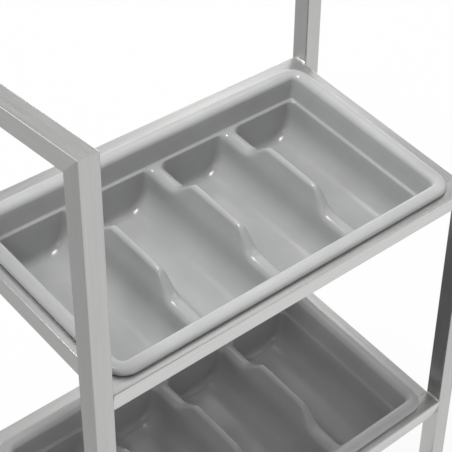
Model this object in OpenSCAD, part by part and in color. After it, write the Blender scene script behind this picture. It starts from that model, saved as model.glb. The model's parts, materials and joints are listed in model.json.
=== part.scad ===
// Cutlery trolley: a welded square-tube frame on four swivel castors, with two tilted tiers
// that each carry a lift-out tray of four compartments.
// X runs along the length, -Y is the front that the tiers slope down to, Z is up from the floor.

/* [Frame] */
// Side of the square tube
tube = 25; // [22:1:30]
// Wall thickness of the tube
tube_wall = 1.5; // [1:0.1:2.5]
// Outside corner radius of the tube
tube_round = 2; // [1:0.1:3]
// Height of the lower front rail's top edge above the floor
lower_tier_z = 282; // [265:1:400]
// Height between the two tiers
tier_gap = 362; // [300:1:450]
// Height of the handle bars' top above the upper front rail
handle_rise = 296; // [220:1:360]
// Slope of the tiers, down towards the front
tier_tilt = 9; // [0:0.5:12]

/* [Tray] */
// Length of the tray over its rim
tray_l = 519; // [440:1:700]
// Width of the tray over its rim
tray_w = 286; // [260:1:400]
// Wall thickness of the tray
tray_wall = 3; // [2:0.1:4]
// Height of the rim's skirt
rim_h = 9; // [7:0.5:14]
// Width of the rim, from its outer edge to its inner edge
rim_w = 17.5; // [15:0.5:22]
// Plan radius of the rim's corners, kept larger than the rim and the leaning wall need
rim_r = 26; // [26:1:60]
// Radius of the rim's rounded outer edge
rim_edge = 3.5; // [2:0.5:5]
// Radius of the bend from the rim's top into the wall
rim_bend = 8; // [5:0.5:8.5]
// Drop from the rim's top to the ledge inside the tray
ledge_drop = 31; // [20:1:40]
// How far the upper wall leans in over that drop
ledge_run = 6.5; // [3:0.5:9]
// Width of the ledge
ledge_w = 4; // [2:0.5:8]
// Depth of the compartments below the ledge
comp_depth = 52; // [40:1:70]
// Lean of the compartments' walls
comp_lean = 7; // [3:0.5:10]
// Fillet along the compartments' long bottom edges
comp_fillet = 25; // [12:1:28]
// Fillet along the compartments' short bottom edges
end_fillet = 15; // [8:1:25]
// Plan radius of the compartments' corners
comp_round = 12; // [6:1:20]
// Width of a ridge at the ledge
ridge_w = 20; // [16:1:30]
// Radius inside the top of a hollow ridge
ridge_tip_r = 1; // [1:0.5:3]
// Step from a compartment's edge to the foot of a ridge
ridge_step = 0.5; // [0.3:0.1:1]
// Rise of a ridge's middle above the ledge
ridge_rise = 24; // [12:1:28]
// Length of a ridge's level top
ridge_flat = 78; // [40:1:100]
// Length of each ramp of a ridge
ridge_ramp = 35; // [15:1:40]
// Play between the tray and the side rails, both sides together
tray_play_l = 13.8; // [10:0.1:18]
// Play between the tray and the front and back rails together
tray_play_w = 11.8; // [4:0.1:13]
// How far the tray has settled to the left of the middle
tray_shift = 4; // [0:0.1:4.8]
// Gap between the tray and the front rail that it has slid against
seat_gap = 0.4; // [0.3:0.1:1]

/* [Castors] */
// Diameter of the wheels
wheel_d = 100; // [80:1:125]
// Width of the tyres
tyre_w = 28; // [22:1:34]
// Thickness of the tyres
tyre_t = 10; // [6:0.5:14]
// Width of the wheels' hubs
hub_w = 33; // [30:1:40]
// How far a wheel trails behind its swivel axis
trail = 36; // [28:1:42]
// Thickness of the forks' steel
fork_t = 3; // [2:0.5:4]
// Radius of the forks' crowns
crown_r = 30; // [27:1:34]
// Room between a wheel's top and its fork's crown
crown_room = 12; // [8:1:20]
// Diameter of the swivel balls
ball_d = 4; // [3:0.5:5]
// Number of swivel balls in a castor
ball_count = 14; // [8:1:16]
// Radius of the swivel balls' ring
ball_ring_r = 17; // [14:1:20]
// Height of a castor head
head_h = 7; // [5:0.5:12]
// Radius of a castor head
head_r = 24; // [22:1:28]
// Radius of the hollow king pin
king_r = 8; // [7:0.5:10]
// Radius of the castor bolts
bolt_r = 5; // [4:0.5:6]
// Radius of the axles
axle_r = 4; // [3:0.5:5]
// Wall of the axle sleeves
sleeve_t = 2; // [1.5:0.5:3]
// Thickness of the flange under a post
insert_flange = 4; // [2:0.5:8]
// Height of a plug inside its post
insert_h = 30; // [20:1:50]

/* [Brakes] */
// Swing of a brake pedal from free to locked
brake_angle = 18; // [10:1:22]
// Length of a brake pedal from its pivot
pedal_l = 50; // [40:1:60]
// Thickness of a brake pedal
pedal_t = 4; // [3:0.5:6]
// Lift of a free pedal above the level
pedal_lift = 14; // [8:1:20]
// Radius of a brake's pivot pin
brake_pin_r = 3; // [2.5:0.5:4]
// Wall of the pedal's barrel around its pin
barrel_wall = 3; // [2:0.5:4]

/* [Hidden] */
$fn = 64;
steel = "Gainsboro";
zinc = "Silver";
grey_plastic = "DarkGray";
dark_plastic = "DimGray";
// Radial gaps of turning fits, of loose parts in holes, and room along an axis or between moving parts
run_fit = 0.05;
hole_fit = 0.1;
axial_room = 1;
free_gap = 0.3;
// Overlap that lets a cutting solid pass through a face
cut = 1;

// Tray, measured from its rim inwards and from the rails' top downwards
ledge_z = rim_h - ledge_drop;
well_inset = rim_w + ledge_run * rim_h / ledge_drop - tray_wall;
ledge_inset = rim_w + ledge_run;
comp_inset = ledge_inset + ledge_w;
plate_inset = ledge_inset - tray_wall / 2;
corner_r = max(rim_r, ledge_inset + 2);
core_l = tray_l - 2 * corner_r;
core_w = tray_w - 2 * corner_r;
comp_l = tray_w - 2 * comp_inset;
comp_w = (tray_l - 2 * comp_inset - 3 * ridge_w) / 4;
comp_pitch = comp_w + ridge_w;

// Share of a ridge's ramp that eases in, and again out
ease_part = 0.25;

// Tier frame, in its own sloping plane
opening_l = tray_l - 2 * well_inset + tray_play_l;
opening_w = tray_w - 2 * well_inset + tray_play_w;
tier_l = opening_l + 2 * tube;
tier_w = opening_w + 2 * tube;
tray_x = -tray_shift;
tray_v = tube + seat_gap - well_inset + tray_w / 2;

// Whole frame
frame_l = tier_l + 2 * tube;
frame_d = tier_w * cos(tier_tilt) + tube * sin(tier_tilt);
upper_tier_z = lower_tier_z + tier_gap;
handle_top = upper_tier_z + handle_rise;
post_x = (frame_l - tube) / 2;
post_y = (frame_d - tube) / 2;

// Castor levels above the floor
wheel_r = wheel_d / 2;
crown_z = wheel_d + crown_room;
race_z = crown_z + fork_t;
head_z = race_z + ball_d;
insert_z = head_z + head_h;
post_z = insert_z + insert_flange;
leg_in = hub_w / 2 + axial_room;
leg_out = leg_in + fork_t;
leg_half = sqrt(crown_r * crown_r - leg_out * leg_out) - axial_room;
boss_r = axle_r + 10;
sleeve_r = axle_r + hole_fit + sleeve_t;
rim_seat_r = wheel_r - tyre_t;
washer_t = 1.5;
washer_r = king_r + 3;
bolt_head_h = 6.4;
bolt_head_r = 9.8;
axle_head_h = 5.3;
axle_nut_h = 6.5;
axle_head_r = 7.5;

// Brake pivot, in a castor's own frame: X trails, Z is the height above the floor
brake_pivot = [trail + 12, wheel_d + 7];
barrel_r = brake_pin_r + barrel_wall;
ear_r = barrel_r + 2;
pedal_half = leg_in - axial_room;
shoe_from = 8;
shoe_to = 24;

// Corners of the trolley: name, side along X, side along Y, brake
castors = [
    ["front_left", -1, -1, true],
    ["front_right", 1, -1, true],
    ["back_left", -1, 1, false],
    ["back_right", 1, 1, false]
];
braked_castors = [for (c = castors) if (c[3]) c];
ends = [["left", -1], ["right", 1]];
tiers = [["upper", upper_tier_z], ["lower", lower_tier_z]];

// Point where the tangent from a point p touches a circle at c, on one side or the other
function tangent(p, c, r, side) =
    let (d = p - c, a = atan2(d[1], d[0]) + side * acos(r / norm(d))) c + r * [cos(a), sin(a)];

// Straight rise from 0 to 1 with eased ends
function ease(t) = let (bend = 2 * ease_part * (1 - ease_part))
    t < ease_part ? t * t / bend : t > 1 - ease_part ? 1 - (1 - t) * (1 - t) / bend
    : (t - ease_part / 2) / (1 - ease_part);

module rounded_rect(l, w, r) {
    square([l - 2 * r, w], center = true);
    square([l, w - 2 * r], center = true);
    for (x = [-1, 1], y = [-1, 1]) translate([x * (l / 2 - r), y * (w / 2 - r)]) circle(r);
}

module tube_section() difference() {
    rounded_rect(tube, tube, tube_round);
    square(tube - 2 * tube_wall, center = true);
}

// Half-space above the mitre of a front post, whose outer top edge is at y = -frame_d / 2
module mitre_top() translate([0, -frame_d / 2, handle_top]) rotate([-45, 0, 0])
    translate([-frame_l, -frame_d, 0]) cube([2 * frame_l, 3 * frame_d, frame_d]);

module at_corner(c) translate([c[1] * post_x, c[2] * post_y, 0]) mirror([c[1] > 0 ? 1 : 0, 0, 0])
    mirror([0, c[2] > 0 ? 1 : 0, 0]) children();

module on_tier(z) translate([0, -frame_d / 2, z]) rotate([tier_tilt, 0, 0]) children();

// Frame of square tube

module post(c) color(steel) mirror([0, c[2] > 0 ? 1 : 0, 0]) difference() {
    translate([c[1] * post_x, -post_y, post_z]) linear_extrude(handle_top - post_z) tube_section();
    mitre_top();
}

module handle_bar(e) color(steel) intersection() {
    translate([e[1] * post_x, frame_d / 2, handle_top - tube / 2]) rotate([90, 0, 0])
        linear_extrude(frame_d) tube_section();
    mitre_top();
    mirror([0, 1, 0]) mitre_top();
}

module long_rail(t, v) color(steel) on_tier(t[1]) translate([-tier_l / 2, v, -tube / 2]) rotate([90, 0, 90])
    linear_extrude(tier_l) tube_section();

module short_rail(t, side) color(steel) on_tier(t[1])
    translate([side * (tier_l - tube) / 2, tier_w - tube, -tube / 2]) rotate([90, 0, 0])
    linear_extrude(tier_w - 2 * tube) tube_section();

// Tray

// Point at angle a on the bend from the rim's top into the leaning wall
function bend_point(r, a) = let (drop = rim_bend - r * sin(a))
    [corner_r - rim_w + rim_bend + r * cos(a) - drop * ledge_run / ledge_drop, rim_h - drop];

// Section of the rim and the wall down to the ledge: distance from the corner's centre, height
module rim_section() {
    ledge = corner_r - ledge_inset;
    polygon(concat(
        [[corner_r, 0]],
        [for (a = [0:15:90]) [corner_r, rim_h] - rim_edge * [1 - cos(a), 1 - sin(a)]],
        [for (a = [90:15:180]) bend_point(rim_bend, a)],
        [[ledge, ledge_z], [ledge, ledge_z - tray_wall], [ledge + tray_wall, ledge_z - tray_wall]],
        [for (a = [180:-15:90]) bend_point(rim_bend - tray_wall, a)],
        [[corner_r - tray_wall, rim_h - tray_wall], [corner_r - tray_wall, 0]]
    ));
}

module rim_ring() for (k = [0:3]) rotate([0, 0, 90 * k]) {
    l = k % 2 == 0 ? core_l : core_w;
    w = k % 2 == 0 ? core_w : core_l;
    translate([l / 2, w / 2, 0]) rotate_extrude(angle = 90) rim_section();
    translate([-l / 2, w / 2, 0]) rotate([90, 0, 90]) linear_extrude(l) rim_section();
}

// Section of a compartment across its half width, grown by a wall for its outside
module comp_section(half, fillet, grow) {
    steps = 10;
    floor_z = ledge_z - comp_depth - grow;
    r = fillet + grow;
    lean = tan(comp_lean);
    centre = [half + grow + (floor_z + r - ledge_z) * lean - r / cos(comp_lean), floor_z + r];
    top_z = ledge_z + (grow > 0 ? -tray_wall / 2 : cut);
    right = concat(
        [for (i = [0:steps]) let (a = -90 + (90 - comp_lean) * i / steps) centre + r * [cos(a), sin(a)]],
        [[half + grow + (top_z - ledge_z) * lean, top_z]]
    );
    polygon(concat(right, [for (i = [len(right) - 1:-1:0]) [-right[i][0], right[i][1]]]));
}

// One compartment, or with grow its outside
module compartment(grow) intersection() {
    translate([0, comp_l, 0]) rotate([90, 0, 0]) linear_extrude(2 * comp_l)
        comp_section(comp_w / 2, comp_fillet, grow);
    translate([-comp_w, 0, 0]) rotate([90, 0, 90]) linear_extrude(2 * comp_w)
        comp_section(comp_l / 2, end_fillet, grow);
    translate([0, 0, ledge_z - 2 * comp_depth]) linear_extrude(2 * comp_depth + cut)
        rounded_rect(comp_w + 2 * grow, comp_l + 2 * grow, comp_round + grow);
}

// The raised middle of a ridge, or with shrink its hollow, which is open below
module ridge(shrink) {
    steps = 8;
    half = ridge_w / 2 - ridge_step - shrink;
    foot_z = ledge_z - tray_wall - (shrink > 0 ? cut : -cut);
    tip_r = ridge_tip_r + tray_wall - shrink;
    tip_z = ledge_z + ridge_rise - shrink - tip_r;
    flat = ridge_flat / 2 - shrink / 2;
    intersection() {
        translate([0, comp_l / 2, 0]) rotate([90, 0, 0]) linear_extrude(comp_l) {
            polygon([[-half, foot_z], [half, foot_z], [half, ledge_z], [tip_r, tip_z], [-tip_r, tip_z],
                [-half, ledge_z]]);
            translate([0, tip_z]) circle(tip_r);
        }
        translate([-ridge_w, 0, 0]) rotate([90, 0, 90]) linear_extrude(2 * ridge_w) polygon(concat(
            [[-flat - ridge_ramp, foot_z]],
            [for (i = [0:steps]) [-flat - ridge_ramp * (1 - i / steps),
                ledge_z - shrink + ridge_rise * ease(i / steps)]],
            [for (i = [0:steps]) [flat + ridge_ramp * i / steps,
                ledge_z - shrink + ridge_rise * ease(1 - i / steps)]],
            [[flat + ridge_ramp, foot_z]]
        ));
    }
}

module tray(t) color(grey_plastic) on_tier(t[1]) translate([tray_x, tray_v, 0]) difference() {
    union() {
        rim_ring();
        translate([0, 0, ledge_z - tray_wall]) linear_extrude(tray_wall)
            rounded_rect(tray_l - 2 * plate_inset, tray_w - 2 * plate_inset, corner_r - plate_inset);
        for (i = [0:3]) translate([(i - 1.5) * comp_pitch, 0, 0]) compartment(tray_wall);
        for (i = [-1:1]) translate([i * comp_pitch, 0, 0]) ridge(0);
    }
    for (i = [0:3]) translate([(i - 1.5) * comp_pitch, 0, 0]) compartment(0);
    for (i = [-1:1]) translate([i * comp_pitch, 0, 0]) ridge(tray_wall);
}

// Castors

module post_inserts() color(dark_plastic) for (c = castors) at_corner(c) difference() {
    union() {
        translate([0, 0, insert_z]) linear_extrude(insert_flange) rounded_rect(tube, tube, tube_round);
        translate([0, 0, post_z]) linear_extrude(insert_h)
            square(tube - 2 * tube_wall - 2 * hole_fit, center = true);
    }
    translate([0, 0, insert_z - cut])
        cylinder(h = insert_flange + insert_h + 2 * cut, r = bolt_r + hole_fit);
}

module castor_bolts() color(zinc) for (c = castors) at_corner(c) {
    washer_z = crown_z - axial_room - washer_t;
    translate([0, 0, washer_z - bolt_head_h]) cylinder(h = bolt_head_h, r = bolt_head_r, $fn = 6);
    translate([0, 0, washer_z - cut]) cylinder(h = post_z + insert_h - washer_z, r = bolt_r);
}

module castor_washers() color(zinc) for (c = castors) at_corner(c)
    translate([0, 0, crown_z - axial_room - washer_t]) difference() {
        cylinder(h = washer_t, r = washer_r);
        translate([0, 0, -cut]) cylinder(h = washer_t + 2 * cut, r = bolt_r + hole_fit);
    }

module castor_head(c) color(zinc) at_corner(c) difference() {
    union() {
        translate([0, 0, head_z]) cylinder(h = head_h, r = head_r);
        translate([0, 0, crown_z - axial_room])
            cylinder(h = head_z - crown_z + axial_room + cut, r = king_r);
    }
    translate([0, 0, crown_z - axial_room - cut])
        cylinder(h = insert_z - crown_z + axial_room + 2 * cut, r = bolt_r + hole_fit);
}

module swivel_balls() color(zinc) for (c = castors) at_corner(c) for (i = [1:ball_count])
    rotate([0, 0, 360 * i / ball_count]) translate([ball_ring_r, 0, head_z - ball_d / 2 + free_gap / 2])
        sphere(d = ball_d - free_gap);

// Side of a fork's leg: trailing distance, height
module leg_side(braked) {
    axle = [trail, wheel_r];
    lead = [-leg_half, crown_z - fork_t];
    rear = [leg_half, crown_z];
    polygon([[-leg_half, race_z], lead, tangent(lead, axle, boss_r, 1), tangent(rear, axle, boss_r, -1), rear,
        [leg_half, race_z]]);
    translate(axle) circle(boss_r);
    if (braked) {
        above = [leg_half / 2, race_z];
        below = [leg_half / 2, crown_z - 2 * ear_r];
        polygon([below, tangent(below, brake_pivot, ear_r, 1), tangent(above, brake_pivot, ear_r, -1),
            above]);
        translate(brake_pivot) circle(ear_r);
    }
}

module fork(c) color(zinc) at_corner(c) difference() {
    union() {
        intersection() {
            translate([0, 0, crown_z]) cylinder(h = fork_t, r = crown_r);
            translate([-crown_r, -leg_out, crown_z]) cube([2 * crown_r, 2 * leg_out, fork_t]);
        }
        for (y = [-leg_in, leg_out]) translate([0, y, 0]) rotate([90, 0, 0])
            linear_extrude(fork_t) leg_side(c[3]);
    }
    translate([0, 0, crown_z - cut]) cylinder(h = fork_t + 2 * cut, r = king_r + run_fit);
    translate([trail, leg_out + cut, wheel_r]) rotate([90, 0, 0])
        cylinder(h = 2 * leg_out + 2 * cut, r = axle_r + hole_fit);
    if (c[3]) translate([brake_pivot[0], leg_out + cut, brake_pivot[1]]) rotate([90, 0, 0])
        cylinder(h = 2 * leg_out + 2 * cut, r = brake_pin_r + hole_fit);
}

// Places a shape drawn along Z on a wheel's axle, with its start at y
module on_axle(y) translate([trail, y, wheel_r]) rotate([-90, 0, 0]) children();

module axle_bolt(c) color(zinc) at_corner(c) {
    on_axle(-leg_out - axle_head_h) cylinder(h = axle_head_h, r = axle_head_r, $fn = 6);
    on_axle(-leg_out - cut) cylinder(h = 2 * leg_out + axle_nut_h + 2 * cut, r = axle_r);
}

module axle_nut(c) color(zinc) at_corner(c) on_axle(leg_out) difference() {
    cylinder(h = axle_nut_h, r = axle_head_r, $fn = 6);
    translate([0, 0, -cut]) cylinder(h = axle_nut_h + 2 * cut, r = axle_r + hole_fit);
}

module axle_sleeve(c) color(zinc) at_corner(c) on_axle(-leg_in) difference() {
    cylinder(h = 2 * leg_in, r = sleeve_r);
    translate([0, 0, -cut]) cylinder(h = 2 * leg_in + 2 * cut, r = axle_r + hole_fit);
}

// Half section of a wheel's centre: hub, web and rim
module wheel_centre_section() {
    hub_r = sleeve_r + 7;
    web_half = hub_w / 8;
    rim_in = rim_seat_r - 6;
    rim_half = tyre_w / 2 - 1;
    bore_r = sleeve_r + run_fit;
    translate([bore_r, -hub_w / 2]) square([hub_r - bore_r, hub_w]);
    translate([bore_r, -web_half]) square([rim_seat_r - bore_r, 2 * web_half]);
    translate([rim_in, -rim_half]) square([rim_seat_r - rim_in, 2 * rim_half]);
}

module wheel_centre(c) color(grey_plastic) at_corner(c) on_axle(0) rotate_extrude() wheel_centre_section();

module tyre(c) color(dark_plastic) at_corner(c) on_axle(0) rotate_extrude() {
    edge = tyre_t * 0.45;
    half = tyre_w / 2;
    inside = rim_seat_r + run_fit;
    translate([inside, -half]) square([wheel_r - edge - inside, tyre_w]);
    translate([inside, -half + edge]) square([wheel_r - inside, tyre_w - 2 * edge]);
    for (s = [-1, 1]) translate([wheel_r - edge, s * (half - edge)]) circle(edge);
}

module brake_pin(c) color(zinc) at_corner(c) translate([brake_pivot[0], leg_out + axial_room, brake_pivot[1]])
    rotate([90, 0, 0]) cylinder(h = 2 * leg_out + 2 * axial_room, r = brake_pin_r);

// Side of a pedal about its pivot, with the pedal lying along X
module pedal_side() {
    circle(barrel_r);
    translate([0, barrel_r - pedal_t]) square([pedal_l - pedal_t / 2, pedal_t]);
    translate([pedal_l - pedal_t / 2, barrel_r - pedal_t / 2]) circle(pedal_t / 2);
    translate([shoe_from, -3 * barrel_r]) square([shoe_to - shoe_from, 4 * barrel_r - pedal_t / 2]);
}

// The shoe is cut to the tyre as it stands when the pedal is down
module brake_pedal(c) color(dark_plastic) at_corner(c)
    translate([brake_pivot[0], 0, brake_pivot[1]]) difference() {
        rotate([0, -pedal_lift, 0]) translate([0, pedal_half, 0]) rotate([90, 0, 0])
            linear_extrude(2 * pedal_half) pedal_side();
        translate([0, pedal_half + cut, 0]) rotate([90, 0, 0])
            cylinder(h = 2 * pedal_half + 2 * cut, r = brake_pin_r + run_fit);
        rotate([0, -brake_angle, 0]) translate([trail - brake_pivot[0], 0, wheel_r - brake_pivot[1]])
            translate([0, pedal_half + cut, 0]) rotate([90, 0, 0])
            cylinder(h = 2 * pedal_half + 2 * cut, r = wheel_r + free_gap);
    }

for (c = castors) post(c);
for (e = ends) handle_bar(e);
for (t = tiers) {
    long_rail(t, tube / 2);
    long_rail(t, tier_w - tube / 2);
    short_rail(t, -1);
    short_rail(t, 1);
    tray(t);
}
post_inserts();
castor_bolts();
castor_washers();
swivel_balls();
for (c = castors) {
    castor_head(c);
    fork(c);
    axle_bolt(c);
    axle_nut(c);
    axle_sleeve(c);
    wheel_centre(c);
    tyre(c);
}
for (c = braked_castors) {
    brake_pedal(c);
    brake_pin(c);
}
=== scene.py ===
import json
import math
import bmesh
import bpy
from mathutils import Matrix, Vector


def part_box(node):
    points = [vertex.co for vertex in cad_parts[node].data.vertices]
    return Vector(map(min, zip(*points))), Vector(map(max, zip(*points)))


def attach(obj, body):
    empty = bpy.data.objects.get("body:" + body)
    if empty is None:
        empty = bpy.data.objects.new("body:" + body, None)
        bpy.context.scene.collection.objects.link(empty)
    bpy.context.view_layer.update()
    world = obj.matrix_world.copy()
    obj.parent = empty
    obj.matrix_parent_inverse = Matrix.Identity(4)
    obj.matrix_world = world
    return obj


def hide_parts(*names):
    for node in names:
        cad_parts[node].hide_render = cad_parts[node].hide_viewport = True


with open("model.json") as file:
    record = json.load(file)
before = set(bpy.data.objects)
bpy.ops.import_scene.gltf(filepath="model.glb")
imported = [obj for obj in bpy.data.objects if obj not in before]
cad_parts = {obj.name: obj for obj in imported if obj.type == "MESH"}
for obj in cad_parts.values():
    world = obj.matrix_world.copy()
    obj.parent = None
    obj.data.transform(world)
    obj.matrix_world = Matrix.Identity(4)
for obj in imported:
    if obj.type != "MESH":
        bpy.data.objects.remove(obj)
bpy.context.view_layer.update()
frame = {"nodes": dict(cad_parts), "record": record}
cadNodes = frame["nodes"]
bodyOfNode = {node: body for body, names in frame["record"]["behaviour"]["bodies"].items() for node in names}
print("frame loaded:", len(cadNodes), "nodes")

mm = 0.001
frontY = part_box("post_front_left")[0][1] / mm


# small helpers for the shader trees

def newFinish(name):
    mat = bpy.data.materials.new(name)
    mat.use_nodes = True
    tree = mat.node_tree
    tree.nodes.clear()
    out = tree.nodes.new("ShaderNodeOutputMaterial")
    skin = tree.nodes.new("ShaderNodeBsdfPrincipled")
    tree.links.new(skin.outputs["BSDF"], out.inputs["Surface"])
    return mat, tree, skin


def spot(tree, cell, turn=(0, 0, 0)):
    # object coordinates divided by the grain size along each axis
    coord = tree.nodes.new("ShaderNodeTexCoord")
    place = tree.nodes.new("ShaderNodeMapping")
    place.vector_type = "TEXTURE"
    place.inputs["Rotation"].default_value = turn
    place.inputs["Scale"].default_value = cell
    tree.links.new(coord.outputs["Object"], place.inputs["Vector"])
    return place.outputs["Vector"]


def noise(tree, where, detail=2.0, rough=0.5, warp=0.0):
    tex = tree.nodes.new("ShaderNodeTexNoise")
    tex.inputs["Scale"].default_value = 1.0
    tex.inputs["Detail"].default_value = detail
    tex.inputs["Roughness"].default_value = rough
    tex.inputs["Distortion"].default_value = warp
    tree.links.new(where, tex.inputs["Vector"])
    return tex.outputs["Fac"]


def spread(tree, value, low, high, fromLow=0.3, fromHigh=0.7):
    ramp = tree.nodes.new("ShaderNodeMapRange")
    ramp.inputs["From Min"].default_value = fromLow
    ramp.inputs["From Max"].default_value = fromHigh
    ramp.inputs["To Min"].default_value = low
    ramp.inputs["To Max"].default_value = high
    tree.links.new(value, ramp.inputs["Value"])
    return ramp.outputs["Result"]


def tint(tree, value, dark, light, low=0.3, high=0.7):
    ramp = tree.nodes.new("ShaderNodeValToRGB")
    ramp.color_ramp.elements[0].position = low
    ramp.color_ramp.elements[0].color = (*dark, 1)
    ramp.color_ramp.elements[1].position = high
    ramp.color_ramp.elements[1].color = (*light, 1)
    tree.links.new(value, ramp.inputs["Fac"])
    return ramp.outputs["Color"]


def sumOf(tree, a, b, kind="ADD"):
    node = tree.nodes.new("ShaderNodeMath")
    node.operation = kind
    tree.links.new(a, node.inputs[0])
    if isinstance(b, (int, float)):
        node.inputs[1].default_value = b
    else:
        tree.links.new(b, node.inputs[1])
    return node.outputs["Value"]


def blend(tree, a, b, share):
    # a and b added up, with that share of b
    return sumOf(tree, sumOf(tree, a, 1 - share, "MULTIPLY"), sumOf(tree, b, share, "MULTIPLY"))


def relief(tree, skin, height, strength, depth):
    bump = tree.nodes.new("ShaderNodeBump")
    bump.inputs["Strength"].default_value = strength
    bump.inputs["Distance"].default_value = depth
    tree.links.new(height, bump.inputs["Height"])
    tree.links.new(bump.outputs["Normal"], skin.inputs["Normal"])


steel = {
    "dark": (0.590, 0.590, 0.585), "light": (0.730, 0.730, 0.722),
    "strand": 0.0010, "run": 0.12, "hair": 0.0004, "smear": 0.07,
    "roughLow": 0.24, "roughHigh": 0.37,
    "bump": 0.16, "bumpDepth": 0.00012,
}


def brushedSteel(name, along, tilt=0.0, paintedShade=1.0):
    mat, tree, skin = newFinish(name)
    wide = [steel["strand"]] * 3
    fine = [steel["hair"]] * 3
    wide[along] = steel["run"]
    fine[along] = steel["run"] * 0.5
    strand = noise(tree, spot(tree, wide, (tilt, 0, 0)), 3.0, 0.65)
    hair = noise(tree, spot(tree, fine, (tilt, 0, 0)), 2.0, 0.5)
    smear = noise(tree, spot(tree, (steel["smear"],) * 3), 3.0, 0.55, 0.4)   # fingers and cloths
    grain = blend(tree, strand, hair, 0.4)
    # paintedShade darkens this copy of the steel: painted shade, not a different metal
    dark, light = (tuple(c * paintedShade for c in steel[k]) for k in ("dark", "light"))
    tree.links.new(tint(tree, grain, dark, light), skin.inputs["Base Color"])
    sheen = blend(tree, grain, smear, 0.3)
    tree.links.new(spread(tree, sheen, steel["roughLow"], steel["roughHigh"]), skin.inputs["Roughness"])
    skin.inputs["Metallic"].default_value = 1.0
    relief(tree, skin, grain, steel["bump"], steel["bumpDepth"])
    return mat


trayFinish = {
    "dark": (0.375, 0.377, 0.378), "light": (0.415, 0.417, 0.418),
    "peel": 0.0016, "cloud": 0.06, "scuff": 0.0007,
    "rimPaintedLift": 0.2, "rimFrom": 1.0, "rimTo": 7.0,    # painted light: the rim is set lighter than the compartments, standing in for the light the open rim gets and the deep compartments don't
    "scuffShare": 0.35, "scuffRun": (0.035, 0.03), "scuffTurn": (0.16, 0.1, 0.2),
    "roughLow": 0.15, "roughHigh": 0.23,
    "bump": 0.05, "bumpDepth": 0.00025,
}


def mouldedGrey():
    t = trayFinish
    mat, tree, skin = newFinish("moulded_grey_plastic")
    cloud = noise(tree, spot(tree, (t["cloud"],) * 3), 3.0, 0.55)
    peel = noise(tree, spot(tree, (t["peel"],) * 3), 2.0, 0.5)
    # short scuffs along the compartments, where things are dropped in and raked out
    rake = noise(tree, spot(tree, (t["scuff"], *t["scuffRun"]), t["scuffTurn"]), 2.0, 0.6, 0.3)
    scuff = spread(tree, rake, 0.0, 1.0, 0.66, 0.74)
    body = sumOf(tree, cloud, sumOf(tree, scuff, t["scuffShare"], "MULTIPLY"))
    # painted light: the rim attribute lifts the colour on the rim above the compartments' colour
    rim = tree.nodes.new("ShaderNodeAttribute")
    rim.attribute_name = "rim"
    rimLitTone = tree.nodes.new("ShaderNodeVectorMath")
    rimLitTone.operation = "SCALE"
    tree.links.new(tint(tree, body, t["dark"], t["light"], 0.3, 0.8), rimLitTone.inputs[0])
    paintedLift = spread(tree, rim.outputs["Fac"], 1.0, 1 + t["rimPaintedLift"], 0.0, 1.0)
    tree.links.new(paintedLift, rimLitTone.inputs["Scale"])
    tree.links.new(rimLitTone.outputs["Vector"], skin.inputs["Base Color"])
    gloss = blend(tree, peel, cloud, 0.5)
    tree.links.new(spread(tree, gloss, t["roughLow"], t["roughHigh"]), skin.inputs["Roughness"])
    skin.inputs["Specular IOR Level"].default_value = 0.5
    relief(tree, skin, peel, t["bump"], t["bumpDepth"])
    return mat


# the small pieces: cloud and grit are (size, detail, roughness, warp),
# and gloss names the one that the shine follows
smallFinishes = {
    "weld_steel": {
        "cloud": (0.006, 3.0, 0.6, 0.4), "grit": (0.0005, 2.0, 0.6, 0.0), "gloss": "grit", "metal": 1.0,
        "dark": (0.52, 0.51, 0.49), "light": (0.66, 0.65, 0.63),
        "rough": (0.32, 0.46), "bump": (0.2, 0.0002),
    },
    "black_nylon": {
        "cloud": (0.02, 4.0, 0.6, 0.0), "grit": (0.0009, 3.0, 0.6, 0.0), "gloss": "grit", "metal": 0.0,
        "dark": (0.018, 0.018, 0.019), "light": (0.035, 0.035, 0.036),
        "rough": (0.42, 0.62), "bump": (0.2, 0.0002),
    },
    "zinc_plated_steel": {
        "cloud": (0.011, 4.0, 0.6, 0.5), "grit": (0.0008, 2.0, 0.6, 0.0), "gloss": "cloud", "metal": 1.0,
        "dark": (0.47, 0.48, 0.50), "light": (0.62, 0.62, 0.60),
        "rough": (0.24, 0.40), "bump": (0.12, 0.00012),
    },
    "wheel_grey_plastic": {
        "cloud": (0.018, 4.0, 0.6, 0.0), "grit": (0.0011, 2.0, 0.5, 0.0), "gloss": "grit", "metal": 0.0,
        "dark": (0.165, 0.168, 0.172), "light": (0.215, 0.218, 0.222),
        "rough": (0.38, 0.55), "bump": (0.12, 0.0002),
    },
    "grey_tyre_rubber": {
        "cloud": (0.009, 5.0, 0.65, 0.4), "grit": (0.0007, 3.0, 0.6, 0.0), "gloss": "grit", "metal": 0.0,
        "dark": (0.072, 0.073, 0.075), "light": (0.125, 0.125, 0.124),
        "rough": (0.62, 0.85), "bump": (0.3, 0.0003),
    },
}


def smallFinish(name):
    f = smallFinishes[name]
    mat, tree, skin = newFinish(name)
    grain = {}
    for kind in ("cloud", "grit"):
        size, detail, rough, warp = f[kind]
        grain[kind] = noise(tree, spot(tree, (size,) * 3), detail, rough, warp)
    tree.links.new(tint(tree, grain["cloud"], f["dark"], f["light"]), skin.inputs["Base Color"])
    tree.links.new(spread(tree, grain[f["gloss"]], *f["rough"]), skin.inputs["Roughness"])
    skin.inputs["Metallic"].default_value = f["metal"]
    relief(tree, skin, grain["grit"], *f["bump"])
    return mat


tierTilt = math.radians(9)
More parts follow.
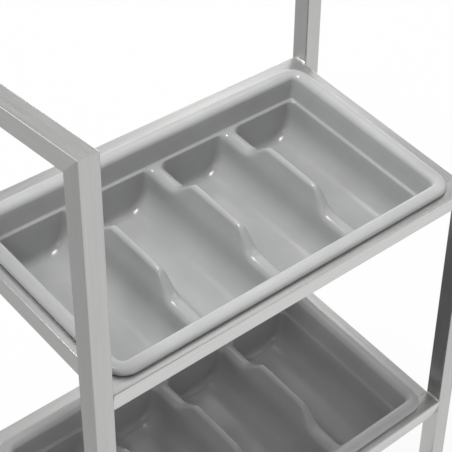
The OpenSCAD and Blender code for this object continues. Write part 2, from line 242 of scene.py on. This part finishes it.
# painted shade: the upright tubes use a darker copy of the same steel, standing in for the darker surroundings
# they reflect
steelUpright = brushedSteel("brushed_steel_upright", 2, paintedShade=0.82)
steelLong = brushedSteel("brushed_steel_long", 0)
steelSide = brushedSteel("brushed_steel_side", 1, tierTilt)
steelHandle = brushedSteel("brushed_steel_handle", 1)
seamSteel = smallFinish("weld_steel")
greyTray = mouldedGrey()
nylon = smallFinish("black_nylon")
zinc = smallFinish("zinc_plated_steel")
wheelPlastic = smallFinish("wheel_grey_plastic")
rubber = smallFinish("grey_tyre_rubber")
print("finishes ready")


def addPiece(name, mesh, mat, body, slotName, *stoodFor):
    obj = bpy.data.objects.new(name, mesh)
    bpy.context.scene.collection.objects.link(obj)
    mesh.materials.clear()
    mesh.materials.append(mat)
    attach(obj, body)
    if stoodFor:
        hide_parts(*stoodFor)
    return obj


def smoothMesh(mesh, angle):
    mesh.polygons.foreach_set("use_smooth", [True] * len(mesh.polygons))
    mesh.set_sharp_from_angle(angle=math.radians(angle))
    mesh.update()


# the moulded tray, in its own millimetres: x along, v up the slope, w off the slope, w 0 on the rails
tray = {
    "length": 519.0, "width": 286.0, "wall": 3.0,
    "rimHeight": 9.0, "rimWidth": 17.5, "rimCorner": 26.0, "leastCorner": 6.0,
    "outerRound": 5.0, "innerRound": 8.0, "crown": 0.5,
    "noseStop": 22.0, "hem": ((3.2, 0.0), (3.9, 0.3), (4.2, 1.0), (3.5, 2.6)),
    "ledge": -22.0, "ledgeStart": 24.0, "footRound": 2.2,
    "seam": 25.9, "underSeam": 22.5,
    "cellStart": 28.0, "cellDepth": 52.0, "lean": math.radians(7), "cellRound": 9.0,
    "sideFillet": 35.0, "endFillet": 10.0, "lipRound": 2.2, "ridgeLip": 9.5,
    "ridgeWidth": 20.0, "ridgeRise": 24.0, "ridgeTip": 5.0, "ridgeFlat": 39.0, "ridgeRamp": 35.0,
    "ridgeTopEase": 0.18, "ridgeFootEase": 0.36, "lipFrom": -34.0, "lipTo": 8.0,
    "ridgeHollow": ((3.0, -2.4), (3.9, 1.5), (5.1, 6.5), (6.3, 11.5),      # a ridge from below
                    (7.5, 16.3), (8.4, 19.6), (9.2, 20.8), (10.0, 21.0)),
    "cornerSteps": 12, "kneeSteps": 5, "footSteps": 10, "merge": 0.02, "sharp": 38,
    "shiftX": -4.0, "centreV": 152.013,
    "tiers": {"upper_tray": 644.0, "lower_tray": 282.0},
}
tray["cellLength"] = tray["width"] - 2 * tray["cellStart"]
tray["cellWidth"] = (tray["length"] - 2 * tray["cellStart"] - 3 * tray["ridgeWidth"]) / 4
tray["cellPitch"] = tray["cellWidth"] + tray["ridgeWidth"]


def arc(cx, cy, radius, start, end, steps):
    turns = [math.radians(start + (end - start) * k / steps) for k in range(steps + 1)]
    return [(cx + radius * math.cos(a), cy + radius * math.sin(a)) for a in turns]


def cornerRadius(inset):
    return max(tray["rimCorner"] - inset, tray["leastCorner"])


def rimProfile():
    # (distance in from the tray's edge, height), from the ledge up over the rim and back underneath
    t = tray
    run, rise = t["ledgeStart"] - t["rimWidth"], t["rimHeight"] - t["ledge"]
    lean = math.degrees(math.atan2(run, rise))
    bend = 90 - lean
    half = math.tan(math.radians(bend / 2))
    foot, inner, outer = t["footRound"], t["innerRound"], t["outerRound"]
    line = [(t["seam"] + 0.6, t["ledge"] - 0.05), (t["seam"], t["ledge"])]
    line += arc(t["ledgeStart"] + foot * half, t["ledge"] + foot, foot, -90, -90 - bend, 5)
    line.append((t["ledgeStart"] - run * 0.5, t["ledge"] + rise * 0.5))
    line += arc(t["rimWidth"] - inner * half, t["rimHeight"] - inner, inner, lean, 90, 10)
    line.append((0.5 * (t["rimWidth"] - inner * half + outer), t["rimHeight"] + t["crown"]))
    line += arc(outer, t["rimHeight"] - outer, outer, 90, 180, 8)
    nose = t["rimHeight"] - outer                   # the edge turns under, down to a narrow hem on the rail
    line += arc(nose, nose, nose, 180, 270 - t["noseStop"], 6)[1:]
    line += t["hem"]
    line += arc(outer, t["rimHeight"] - outer, outer - t["wall"], 180, 90, 4)
    line += arc(t["rimWidth"] - inner * half, t["rimHeight"] - inner, inner - t["wall"], 90, lean, 6)
    outWall = t["wall"] / math.cos(math.radians(lean))
    lowW = t["ledge"] - t["wall"]

    def outside(w):
        return t["ledgeStart"] - (w - t["ledge"]) * run / rise - outWall

    line += [(outside(lowW + 1.0), lowW + 1.0), (outside(lowW) + 0.4, lowW + 0.2)]
    line += [(outside(lowW) + 1.0, lowW), (t["underSeam"] + 0.6, lowW + 0.05)]
    return line


def rimSweep(verts, faces):
    t = tray
    line = rimProfile()
    stations = []
    for quarter, (sx, sv) in enumerate(((1, 1), (-1, 1), (-1, -1), (1, -1))):
        for k in range(t["cornerSteps"] + 1):
            a = math.radians(90 * quarter + 90 * k / t["cornerSteps"])
            stations.append((sx, sv, math.cos(a), math.sin(a)))
    start = len(verts)
    for sx, sv, nx, nv in stations:
        for d, w in line:
            r = cornerRadius(d)
            verts.append((sx * (t["length"] / 2 - d - r) + r * nx, sv * (t["width"] / 2 - d - r) + r * nv, w))
    size = len(line)
    for i in range(len(stations)):
        here, there = start + i * size, start + (i + 1) % len(stations) * size
        for k in range(size - 1):
            faces.append((here + k, here + k + 1, there + k + 1, there + k))


def wallHalf(half, fillet, grow, w):
    # half width of a compartment at height w, with its leaning wall and rounded foot
    t = tray
    k = math.tan(t["lean"])
    floor, radius = t["ledge"] - t["cellDepth"] - grow, fillet + grow
    edge = half + grow
    cx = edge + (floor + radius - t["ledge"]) * k - radius / math.cos(t["lean"])
    cw = floor + radius
    if w >= cw - radius * math.sin(t["lean"]):
        return edge + (w - t["ledge"]) * k
    return cx + math.sqrt(max(0.0, radius ** 2 - (w - cw) ** 2))


def ridgeShare(v):
    # 1 on the plateau, 0 on the low ends, a straight ramp with eased corners between
    s = (abs(v) - tray["ridgeFlat"]) / tray["ridgeRamp"]
    if s <= 0:
        return 1.0
    if s >= 1:
        return 0.0
    top, foot = tray["ridgeTopEase"], tray["ridgeFootEase"]
    steep = 1 / (1 - top / 2 - foot / 2)
    if s < top:
        return 1 - steep * s * s / (2 * top)
    if s > 1 - foot:
        return steep * (1 - s) ** 2 / (2 * foot)
    return 1 - steep * (s - top / 2)


def longSpots():
    top = tray["cellLength"] / 2 - tray["cellRound"]
    flat, foot = tray["ridgeFlat"], tray["ridgeFlat"] + tray["ridgeRamp"]
    up = [foot + (top - foot) * k / 4 for k in range(4, 0, -1)]
    ramp = [flat + (foot - flat) * k / 12 for k in range(12, 0, -1)]
    level = [flat - 2 * flat * k / 8 for k in range(9)]
    half = [-v for v in up + ramp]
    return [v / top for v in half + [-v for v in level] + [-v for v in reversed(half)]]


def cellRing(a, b, r):
    # (x, v, outward x, outward v) round a rounded rectangle, right side first, anticlockwise
    steps, longs, shorts = tray["cornerSteps"], longSpots(), [-1 + k / 3 for k in range(7)]
    ring = [(a, s * (b - r), 1, 0) for s in longs]

    def corner(sx, sv, start):
        for k in range(1, steps):
            n = math.radians(start + 90 * k / steps)
            nx, nv = math.cos(n), math.sin(n)
            ring.append((sx * (a - r) + r * nx, sv * (b - r) + r * nv, nx, nv))

    corner(1, 1, 0)
    ring.extend((s * (a - r), b, 0, 1) for s in reversed(shorts))
    corner(-1, 1, 90)
    ring.extend((-a, s * (b - r), -1, 0) for s in reversed(longs))
    corner(-1, -1, 180)
    ring.extend((s * (a - r), -b, 0, -1) for s in shorts)
    corner(1, -1, 270)
    return ring


def cellBorder(ring, reach, leftOuter, rightOuter):
    # where each station of a compartment's top ring meets its neighbours or the rim's ledge
    t = tray
    a, b = t["cellWidth"] / 2, t["cellLength"] / 2
    bend = cornerRadius(t["cellStart"] - reach)
    core = bend - reach                             # from the compartment's edge in to the corner's centre
    straight, around = t["cellRound"] - core, bend * math.pi / 2
    steps = t["cornerSteps"]
    inner = t["ridgeWidth"] / 2
    border = []
    counts = {}
    for x, v, nx, nv in ring:
        outer = rightOuter if (nx > 0.001 or (abs(nx) < 0.001 and x > 0)) else leftOuter
        sx, sv = (1 if x > 0 else -1), (1 if v > 0 else -1)
        if abs(nv) < 0.001:                         # long side
            if not outer:
                border.append((sx * (a + inner), v))
            else:
                past = max(0.0, abs(v) - (b - core))
                border.append((sx * (a - core + math.sqrt(bend ** 2 - past ** 2)), v))
        elif abs(nx) < 0.001:                       # short side
            past = max(0.0, abs(x) - (a - core)) if outer else 0.0
            border.append((x, sv * (b - core + math.sqrt(bend ** 2 - past ** 2))))
        else:
            key = (sx, sv)
            counts[key] = counts.get(key, 0) + 1
            k = counts[key]                         # 1 .. steps - 1, anticlockwise
            fromSide = k if sx * sv > 0 else steps - k
            if outer:
                along = (2 * straight + around) * fromSide / steps
                turn = min(max((along - straight) / bend, 0.0), math.pi / 2)
                before, after = min(along - straight, 0.0), max(along - straight - around, 0.0)
                border.append((sx * (a - core - after + bend * math.cos(turn)),
                               sv * (b - core + before + bend * math.sin(turn))))
            else:
                knee = t["kneeSteps"]
                topV, lowV = b + reach, b - t["cellRound"]
                farX, nearX = a + inner, a - t["cellRound"]
                if fromSide <= knee:
                    border.append((sx * farX, sv * (lowV + (topV - lowV) * fromSide / knee)))
                else:
                    share = (fromSide - knee) / (steps - knee)
                    border.append((sx * (farX + (nearX - farX) * share), sv * topV))
    return border


def stationLips(ring, leftOuter, rightOuter):
    # for each station the share of a full ridge beside it, and the rounding of the compartment's lip there
    t = tray
    topV, longV = t["cellLength"] / 2 - t["cellRound"], abs(ring[0][1])
    counts, lips = {}, []
    for x, v, nx, nv in ring:
        sx, sv = (1 if x > 0 else -1), (1 if v > 0 else -1)
        outer = rightOuter if (nx > 0.001 or (abs(nx) < 0.001 and x > 0)) else leftOuter
        share, near = 0.0, 0.0
        if abs(nv) < 0.001:
            share = 0.0 if outer else ridgeShare(v * topV / longV)
            past = abs(v) * topV / longV - t["ridgeFlat"] - t["ridgeRamp"]
            near = min(max((past - t["lipFrom"]) / (t["lipTo"] - t["lipFrom"]), 0.0), 1.0)
            near = near * near * (3 - 2 * near)
        elif abs(nx) > 0.001:
            counts[sx, sv] = counts.get((sx, sv), 0) + 1
            past = counts[sx, sv] / t["cornerSteps"]
            past = past if sx * sv > 0 else 1 - past
            near = 1 - past * past * (3 - 2 * past)
        lips.append((share, t["lipRound"] + (0 if outer else near * (t["ridgeLip"] - t["lipRound"]))))
    return lips


def cellShell(verts, faces, index, under):
    # one compartment with its half ridges: floor, rounded foot, wall, lip and ledge, seen from above or below
    t = tray
    grow = t["wall"] if under else 0.0
    a, b = t["cellWidth"] / 2, t["cellLength"] / 2
    centreX = (index - 1.5) * t["cellPitch"]
    leftOuter, rightOuter = index == 0, index == 3
    floor = t["ledge"] - t["cellDepth"] - grow
    bigFillet = t["sideFillet"] + grow
    corner = t["cellRound"] + grow
    topW = t["ledge"] - grow
    rows = []

    def ringAt(w):
        return cellRing(wallHalf(a, t["sideFillet"], grow, w), wallHalf(b, t["endFillet"], grow, w), corner)

    for k in range(t["footSteps"] + 1):
        w = floor + bigFillet * (1 - math.cos((math.pi / 2 - t["lean"]) * k / t["footSteps"]))
        rows.append([(x, v, w) for x, v, nx, nv in ringAt(w)])
    edgeRing = ringAt(topW)
    lips = stationLips(edgeRing, leftOuter, rightOuter)
    half = math.tan((math.pi / 2 - t["lean"]) / 2)
    footRow, wallW = rows[-1], rows[-1][0][2]
    for k in range(1, 4):                           # straight wall, up to where each station's lip begins
        row = []
        for (fx, fv, fw), (x, v, nx, nv), (share, lipRound) in zip(footRow, edgeRing, lips):
            drop = 0.0 if under else lipRound * half * math.cos(t["lean"])
            f = k / 3 * (topW - drop - wallW) / (topW - wallW)
            row.append((fx + (x - fx) * f, fv + (v - fv) * f, fw + (topW - fw) * f))
        rows.append(row)
    inner, tip, rise = t["ridgeWidth"] / 2, t["ridgeTip"], t["ridgeRise"]
    if under:
        border = cellBorder(edgeRing, t["cellStart"] - t["underSeam"], leftOuter, rightOuter)
        offset = wallHalf(a, t["sideFillet"], grow, topW) - a
        flats = [k / 8 for k in range(1, 9)]
        ridge = [(u - offset, t["ledge"] + w) for u, w in t["ridgeHollow"]]
    else:
        border = cellBorder(edgeRing, t["cellStart"] - t["seam"], leftOuter, rightOuter)
        lean = math.degrees(t["lean"])
        flats = [0.3, 0.55, 0.8, 1.0]
        side = [(0.4 + (inner - tip - 0.2) * k / 5, (rise - tip + 0.4) * k / 5) for k in range(1, 5)]
        ridge = [(u, t["ledge"] + w) for u, w in side]
        ridge += [(u, t["ledge"] + w) for u, w in arc(inner, rise - tip, tip, 176, 90, 5)]
    tops = [[] for _ in ridge]
    for i, (x, v, nx, nv) in enumerate(edgeRing):
        share, lipRound = lips[i]
        lip = [] if under else arc(lipRound * half, -lipRound, lipRound, 180 - lean, 90, 6)[1:]
        low = [(x + nx * u, v + nv * u, t["ledge"] + w) for u, w in lip]
        lastX, lastV, lastW = low[-1] if low else (x, v, topW)
        bx, bv = border[i]
        low += [(lastX + (bx - lastX) * f, lastV + (bv - lastV) * f, lastW) for f in flats]
        for k, (px, pv, pw) in enumerate(low):
            if share:
                u, w = ridge[k]
                px += (x + nx * u - px) * share
                pw += (w - pw) * share
            tops[k].append((px, pv, pw))
    rows += tops
    size = len(rows[0])
    start = len(verts)
    for row in rows:
        verts.extend((centreX + x, v, w) for x, v, w in row)
    base = tuple(range(start, start + size))
    faces.append(tuple(reversed(base)) if under else base)
    for r in range(len(rows) - 1):
        lowRow, highRow = start + r * size, start + (r + 1) * size
        for i in range(size):
            j = (i + 1) % size
            quad = (lowRow + i, highRow + i, highRow + j, lowRow + j)
            faces.append(tuple(reversed(quad)) if under else quad)


def tierPoint(x, v, w, height):
    # from a tier's sloping plane to the trolley
    c, s = math.cos(tierTilt), math.sin(tierTilt)
    return x * mm, (frontY + v * c - w * s) * mm, (height + v * s + w * c) * mm


def trayPoint(x, v, w, height):
    return tierPoint(x + tray["shiftX"], v + tray["centreV"], w, height)


def markRim(mesh, height):
    # 1 on the rim, 0 below it, the mask for the rim's painted light
    c, s = math.cos(tierTilt), math.sin(tierTilt)
    low, high = trayFinish["rimFrom"], trayFinish["rimTo"]
    depth = [(p.co.z / mm - height) * c - (p.co.y / mm - frontY) * s for p in mesh.vertices]
    rim = mesh.attributes.new("rim", "FLOAT", "POINT")
    rim.data.foreach_set("value", [min(max((w - low) / (high - low), 0.0), 1.0) for w in depth])


def buildTray(node):
    verts, faces = [], []
    rimSweep(verts, faces)
    for index in range(4):
        cellShell(verts, faces, index, False)
        cellShell(verts, faces, index, True)
    mesh = bpy.data.meshes.new("moulded_" + node)
    mesh.from_pydata([trayPoint(*p, tray["tiers"][node]) for p in verts], [], faces)
    mesh.validate()
    bm = bmesh.new()
    bm.from_mesh(mesh)
    bmesh.ops.remove_doubles(bm, verts=bm.verts, dist=tray["merge"] * mm)
    bm.to_mesh(mesh)
    bm.free()
    smoothMesh(mesh, tray["sharp"])
    markRim(mesh, tray["tiers"][node])
    return addPiece("moulded_" + node, mesh, greyTray, node, "tray_plastic", node)


for node in tray["tiers"]:
    piece = buildTray(node)
    print("tray built:", piece.name, len(piece.data.vertices), "points")


nodeCopy = {"merge": 0.003, "flat": 0.6, "sharp": 32, "edgeSteps": 2}


def finishedCopy(node, mat, slotName, edge=0.0):
    # the node's own shape, welded into clean faces, with its sharp edges eased
    bm = bmesh.new()
    bm.from_mesh(cadNodes[node].data)
    bmesh.ops.remove_doubles(bm, verts=bm.verts, dist=nodeCopy["merge"] * mm)
    bmesh.ops.dissolve_limit(bm, angle_limit=math.radians(nodeCopy["flat"]), verts=bm.verts, edges=bm.edges)
    mesh = bpy.data.meshes.new("finished_" + node)
    bm.to_mesh(mesh)
    bm.free()
    smoothMesh(mesh, nodeCopy["sharp"])
    obj = addPiece("finished_" + node, mesh, mat, bodyOfNode[node], slotName, node)
    if edge:
        bevel = obj.modifiers.new("eased edges", "BEVEL")
        bevel.width = edge * mm
        bevel.segments = nodeCopy["edgeSteps"]
        bevel.limit_method = "ANGLE"
        bevel.angle_limit = math.radians(nodeCopy["sharp"])
        bevel.harden_normals = True
    return obj


corners = ("front_left", "front_right", "back_left", "back_right")
for corner in corners:
    finishedCopy("post_" + corner, steelUpright, "stainless_tube")
for side in ("left", "right"):
    finishedCopy("handle_bar_" + side, steelHandle, "stainless_tube")
for tier in ("upper", "lower"):
    for side in ("front", "back"):
        finishedCopy(f"{tier}_{side}_rail", steelLong, "stainless_tube")
    for side in ("left", "right"):
        finishedCopy(f"{tier}_{side}_rail", steelSide, "stainless_tube")
print("tube frame finished")

weld = {
    "leg": 2.3, "crown": 0.22, "flushLeg": 1.7, "flushCrown": 0.14, "mitreLeg": 1.02, "mitreCrown": 0.084,
    "sink": 0.05, "root": 0.5,
    "step": 0.6, "ripple": 2.4, "across": 6, "sharp": 50, "endGap": 2.0, "flushGap": 1.5,
    "postLong": 23.0, "postShort": 20.0, "postGap": 3.0,
    "tube": 25.0, "railHalf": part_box("upper_front_rail")[1][0] / mm, "tierDepth": 315.026,
    "postX": 287.513, "handleTop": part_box("handle_bar_left")[1][2] / mm,
}


def weldRun(verts, faces, start, end, sideA, sideB, outward, leg, crown):
    # one closed run of weld, its toes on the faces that lead off along sideA and sideB
    start, end, sideA, sideB = Vector(start), Vector(end), Vector(sideA), Vector(sideB)
    outward = Vector(outward).normalized()
    length = (end - start).length
    rows, across = max(4, round(length / weld["step"])), weld["across"]
    first = len(verts)
    for i in range(rows + 1):
        here = start + (end - start) * (i / rows)
        puddle = abs(math.sin(math.pi * length * i / rows / weld["ripple"]))
        taper = math.sqrt(min(1.0, 4 * min(i, rows - i) / rows + 0.25))
        for k in range(across + 1):
            share = k / across
            toe = (sideA * (1 - share) + sideB * share) * leg * taper
            swell = 4 * share * (1 - share) * crown * (0.7 + 0.5 * puddle) - weld["sink"]
            verts.append(tuple(here + toe + outward * swell))
        verts.append(tuple(here - outward * weld["root"]))
    size = across + 2
    for i in range(rows):
        a, b = first + i * size, first + (i + 1) * size
        for k in range(size):
            j = (k + 1) % size
            faces.append((a + k, a + j, b + j, b + k))
    faces.append(tuple(range(first + size - 1, first - 1, -1)))
    faces.append(tuple(range(first + rows * size, first + (rows + 1) * size)))


def weldPiece(name, verts, faces):
    mesh = bpy.data.meshes.new(name)
    mesh.from_pydata(verts, [], faces)
    mesh.validate()
    bm = bmesh.new()
    bm.from_mesh(mesh)
    bmesh.ops.recalc_face_normals(bm, faces=bm.faces)
    bm.to_mesh(mesh)
    bm.free()
    smoothMesh(mesh, weld["sharp"])
    return addPiece(name, mesh, seamSteel, bodyOfNode["upper_front_rail"], "stainless_tube")


def weldTier(tier, height):
    w, verts, faces = weld, [], []
    tube, deep, gap = w["tube"], w["tierDepth"], w["endGap"]
    c, s = math.cos(tierTilt), math.sin(tierTilt)
    along, upSlope, off = Vector((1, 0, 0)), Vector((0, c, s)), Vector((0, -s, c))

    def place(x, v, h):
        return Vector(tierPoint(x, v, h, height)) / mm

    for side in (-1, 1):
        edge, inside = side * w["railHalf"], side * (w["railHalf"] - tube)
        near, far = inside + side * w["flushGap"], edge - side * w["flushGap"]
        for joint, away in ((tube, 1), (deep - tube, -1)):
            # side rail butted to the long rail: flush runs above and below, a fillet inside the corner
            for level, face in ((0, off), (-tube, -off)):
                weldRun(verts, faces, place(near, joint, level), place(far, joint, level),
                        upSlope, -upSlope, face, w["flushLeg"], w["flushCrown"])
            weldRun(verts, faces, place(inside, joint, -tube + gap), place(inside, joint, -gap),
                    upSlope * away, along * -side, upSlope * away - along * side, w["leg"], w["crown"])
        # long rail to post, above and below: from, to, level and face
        for low, high, level, face in ((gap, w["postLong"], 0, off), (gap, w["postShort"], -tube, -off),
                                       (deep - w["postShort"], deep - gap, 0, off),
                                       (deep - w["postLong"], deep - w["postGap"], -tube, -off)):
            weldRun(verts, faces, place(edge, low, level), place(edge, high, level),
                    along * -side, face, face - along * side, w["leg"], w["crown"])
    return weldPiece(f"weld_seams_{tier}_tier", [tuple(x * mm for x in p) for p in verts], faces)


def weldHandle(end, side):
    # the mitres of a handle bar: a flush run on both faces and a fillet under each corner
    w, verts, faces = weld, [], []
    tube, top, middle = w["tube"], w["handleTop"], side * w["postX"]
    gap, flush, low = w["endGap"], w["flushGap"], top - tube
    for back in (-1, 1):
        outerY = -back * frontY
        innerY = outerY - back * tube
        across = Vector((0, back, -1)).normalized()
        for face in (-1, 1):
            x = middle + face * tube / 2
            weldRun(verts, faces, (x, outerY - back * gap, top - gap), (x, innerY + back * flush, low + flush),
                    across, -across, (face, 0, 0), w["mitreLeg"], w["mitreCrown"])
        weldRun(verts, faces, (middle - tube / 2 + gap, innerY, low), (middle + tube / 2 - gap, innerY, low),
                (0, -back, 0), (0, 0, -1), (0, -back, -1), w["leg"], w["crown"])
    return weldPiece(f"weld_seams_{end}_handle", [tuple(x * mm for x in p) for p in verts], faces)


for tier in ("upper", "lower"):
    weldTier(tier, tray["tiers"][tier + "_tray"])
for end, side in (("left", -1), ("right", 1)):
    weldHandle(end, side)
print("weld seams run")

for corner in corners:
    finishedCopy("castor_head_" + corner, zinc, "zinc_steel", 0.4)
    finishedCopy("fork_" + corner, zinc, "zinc_steel", 0.4)
    for bit in ("axle_bolt_", "axle_nut_", "axle_sleeve_"):
        finishedCopy(bit + corner, zinc, "zinc_steel", 0.3)
    finishedCopy("wheel_centre_" + corner, wheelPlastic, "wheel_plastic", 0.4)
    finishedCopy("tyre_" + corner, rubber, "tyre_rubber")
for side in ("front_left", "front_right"):
    finishedCopy("brake_pedal_" + side, nylon, "black_plastic", 0.5)
    finishedCopy("brake_pin_" + side, zinc, "zinc_steel", 0.3)
finishedCopy("post_inserts", nylon, "black_plastic", 0.4)
for bits in ("castor_bolts", "castor_washers", "swivel_balls"):
    finishedCopy(bits, zinc, "zinc_steel")
print("castors finished")


studio = {
    "floorSize": 14.0, "floorTone": 0.86, "white": 0.9, "fadeFrom": 1.0, "fadeTo": 3.5,
    "poolNear": 0.91, "poolFar": 0.54, "poolFrom": -0.7, "poolTo": 0.2, "poolLine": (0.7, -0.7, 0),
    "room": 0.42, "aim": (0, 0, 0.6),               # the even light on matt surfaces, and where the lamps point
    "sky": ((0.0, 0.52), (0.5, 0.50), (0.8, 0.27), (1.0, 0.27)),
    "lamps": {
        "key_softbox": ((-0.7, 0.2, 4.3), (1.2, 1.2), 92.0),
        "top_softbox": ((1.6, 1.2, 3.6), (1.6, 1.6), 4.0),
        "back_softbox": ((1.2, 0.82, 2.17), (0.5, 0.5), 1.0),
        "front_softbox": ((1.4, -1.0, 2.5), (0.7, 1.1), 4.0),
        "near_card": ((-1.55, -1.2, 2.06), (0.25, 0.25), 5.5),
        "left_strip": ((-1.22, 1.78, 1.86), (1.4, 1.4), 5.0),
        "back_strip": ((1.82, 1.72, 1.35), (2.4, 1.0), 13.0),
    },
}


def buildFloor():
    mesh = bpy.data.meshes.new("studio_floor")
    half = studio["floorSize"] / 2
    square = [(-half, -half, 0), (half, -half, 0), (half, half, 0), (-half, half, 0)]
    mesh.from_pydata(square, [], [(0, 1, 2, 3)])
    obj = bpy.data.objects.new("studio_floor", mesh)
    bpy.context.scene.collection.objects.link(obj)
    mat = bpy.data.materials.new("studio_floor_white")
    mat.use_nodes = True
    tree = mat.node_tree
    tree.nodes.clear()
    out = tree.nodes.new("ShaderNodeOutputMaterial")
    matt = tree.nodes.new("ShaderNodeBsdfDiffuse")
    matt.inputs["Color"].default_value = (studio["floorTone"],) * 3 + (1,)
    glow = tree.nodes.new("ShaderNodeEmission")
    path = tree.nodes.new("ShaderNodeLightPath")
    # the floor glows white to the eye; in reflections the glow is a painted pool of light, brightest to the
    # front right and fading towards the back left
    coord = tree.nodes.new("ShaderNodeTexCoord")
    slant = tree.nodes.new("ShaderNodeVectorMath")
    slant.operation = "DOT_PRODUCT"
    slant.inputs[1].default_value = studio["poolLine"]
    tree.links.new(coord.outputs["Object"], slant.inputs[0])
    pool = spread(tree, slant.outputs["Value"], studio["poolFar"], studio["poolNear"],
                  studio["poolFrom"], studio["poolTo"])
    glossy = path.outputs["Is Glossy Ray"]
    seen = sumOf(tree, path.outputs["Is Camera Ray"], path.outputs["Is Transmission Ray"])
    tree.links.new(sumOf(tree, seen, sumOf(tree, glossy, pool, "MULTIPLY")), glow.inputs["Strength"])
    # further out it turns into the backdrop
    reach = tree.nodes.new("ShaderNodeVectorMath")
    reach.operation = "LENGTH"
    tree.links.new(coord.outputs["Object"], reach.inputs[0])
    white = spread(tree, reach.outputs["Value"], studio["white"], 1.0, studio["fadeFrom"], studio["fadeTo"])
    share = sumOf(tree, sumOf(tree, seen, white, "MULTIPLY"), glossy)
    mix = tree.nodes.new("ShaderNodeMixShader")
    tree.links.new(share, mix.inputs["Fac"])
    tree.links.new(matt.outputs["BSDF"], mix.inputs[1])
    tree.links.new(glow.outputs["Emission"], mix.inputs[2])
    tree.links.new(mix.outputs["Shader"], out.inputs["Surface"])
    mesh.materials.append(mat)


def buildWorld():
    world = bpy.data.worlds.new("studio")
    bpy.context.scene.world = world
    world.use_nodes = True
    tree = world.node_tree
    tree.nodes.clear()
    out = tree.nodes.new("ShaderNodeOutputWorld")
    room = tree.nodes.new("ShaderNodeBackground")
    room.inputs["Color"].default_value = (studio["room"],) * 3 + (1,)
    # white to the eye, grey in reflections, and duller overhead
    coord = tree.nodes.new("ShaderNodeTexCoord")
    part = tree.nodes.new("ShaderNodeSeparateXYZ")
    tree.links.new(coord.outputs["Generated"], part.inputs["Vector"])
    ramp = tree.nodes.new("ShaderNodeValToRGB")
    stops = ramp.color_ramp.elements
    while len(stops) < len(studio["sky"]):
        stops.new(0.5)
    for stop, (height, tone) in zip(stops, studio["sky"]):
        stop.position = height
        stop.color = (tone, tone, tone, 1)
    tree.links.new(part.outputs["Z"], ramp.inputs["Fac"])
    path = tree.nodes.new("ShaderNodeLightPath")
    seen = sumOf(tree, path.outputs["Is Camera Ray"], path.outputs["Is Transmission Ray"])
    glossy = path.outputs["Is Glossy Ray"]
    backdrop = tree.nodes.new("ShaderNodeBackground")
    mirrored = sumOf(tree, glossy, ramp.outputs["Color"], "MULTIPLY")
    tree.links.new(sumOf(tree, seen, mirrored), backdrop.inputs["Strength"])
    backdrop.inputs["Color"].default_value = (1, 1, 1, 1)
    mix = tree.nodes.new("ShaderNodeMixShader")
    tree.links.new(sumOf(tree, seen, glossy), mix.inputs["Fac"])
    tree.links.new(room.outputs["Background"], mix.inputs[1])
    tree.links.new(backdrop.outputs["Background"], mix.inputs[2])
    tree.links.new(mix.outputs["Shader"], out.inputs["Surface"])


def softbox(name, place, size, power):
    lamp = bpy.data.lights.new(name, "AREA")
    lamp.shape = "RECTANGLE"
    lamp.size, lamp.size_y = size
    lamp.energy = power
    obj = bpy.data.objects.new(name, lamp)
    obj.location = place
    obj.rotation_mode = "QUATERNION"
    obj.rotation_quaternion = (Vector(studio["aim"]) - Vector(place)).to_track_quat("-Z", "Y")
    bpy.context.scene.collection.objects.link(obj)


# fitted to the tube ends, the rails and the tray rim
cameraFit = {
    "place": (-0.8568, -0.9646, 1.6029), "lens": 108.5, "sensor": 36.0, "clip": (0.05, 60),
    "right": (0.74574, -0.66618, 0.00862), "up": (0.39527, 0.45282, 0.7992),
    "back": (-0.53631, -0.59259, 0.60101),
}


def buildCamera():
    data = bpy.data.cameras.new("camera")
    data.sensor_width = cameraFit["sensor"]
    data.lens = cameraFit["lens"]
    data.clip_start, data.clip_end = cameraFit["clip"]
    obj = bpy.data.objects.new("camera", data)
    turn = Matrix([cameraFit[k] for k in ("right", "up", "back")]).transposed().to_4x4()
    obj.matrix_world = Matrix.Translation(cameraFit["place"]) @ turn
    bpy.context.scene.collection.objects.link(obj)
    bpy.context.scene.camera = obj


buildFloor()
buildWorld()
for name, lampFacts in studio["lamps"].items():
    softbox(name, *lampFacts)
buildCamera()
bpy.context.scene.view_settings.view_transform = "Standard"
print("stage ready")
